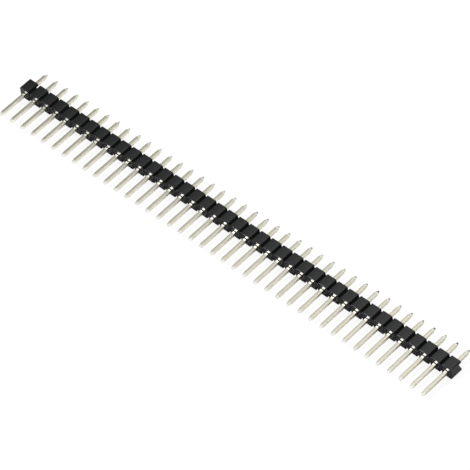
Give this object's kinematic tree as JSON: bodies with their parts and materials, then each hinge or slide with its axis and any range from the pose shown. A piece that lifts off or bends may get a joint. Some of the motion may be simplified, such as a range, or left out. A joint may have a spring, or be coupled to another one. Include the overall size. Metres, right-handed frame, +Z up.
{
  "type": "pin header strip",
  "caption": "Straight single-row pin header that joins a circuit board to a socket: pointed square posts through a black strip with snap-off notches.",
  "frame": {"origin": "middle of the part's outline in X and Y, on the surface that the strip's side face lies on", "axes": "+X along the row of posts, +Y along the short solder tails, +Z up out of the upper side face"},
  "size_m": [0.1014, 0.012, 0.0025],
  "materials": {
    "housing": "satin moulded black plastic",
    "pins": "pale plated square wire"
  },
  "bodies": {
    "root": {"housing": "housing", "pin_01": "pins", "pin_02": "pins", "pin_03": "pins", "pin_04": "pins", "pin_05": "pins", "pin_06": "pins", "pin_07": "pins", "pin_08": "pins", "pin_09": "pins", "pin_10": "pins", "pin_11": "pins", "pin_12": "pins", "pin_13": "pins", "pin_14": "pins", "pin_15": "pins", "pin_16": "pins", "pin_17": "pins", "pin_18": "pins", "pin_19": "pins", "pin_20": "pins", "pin_21": "pins", "pin_22": "pins", "pin_23": "pins", "pin_24": "pins", "pin_25": "pins", "pin_26": "pins", "pin_27": "pins", "pin_28": "pins", "pin_29": "pins", "pin_30": "pins", "pin_31": "pins", "pin_32": "pins", "pin_33": "pins", "pin_34": "pins", "pin_35": "pins", "pin_36": "pins", "pin_37": "pins", "pin_38": "pins", "pin_39": "pins", "pin_40": "pins"}
  },
  "joints": []
}
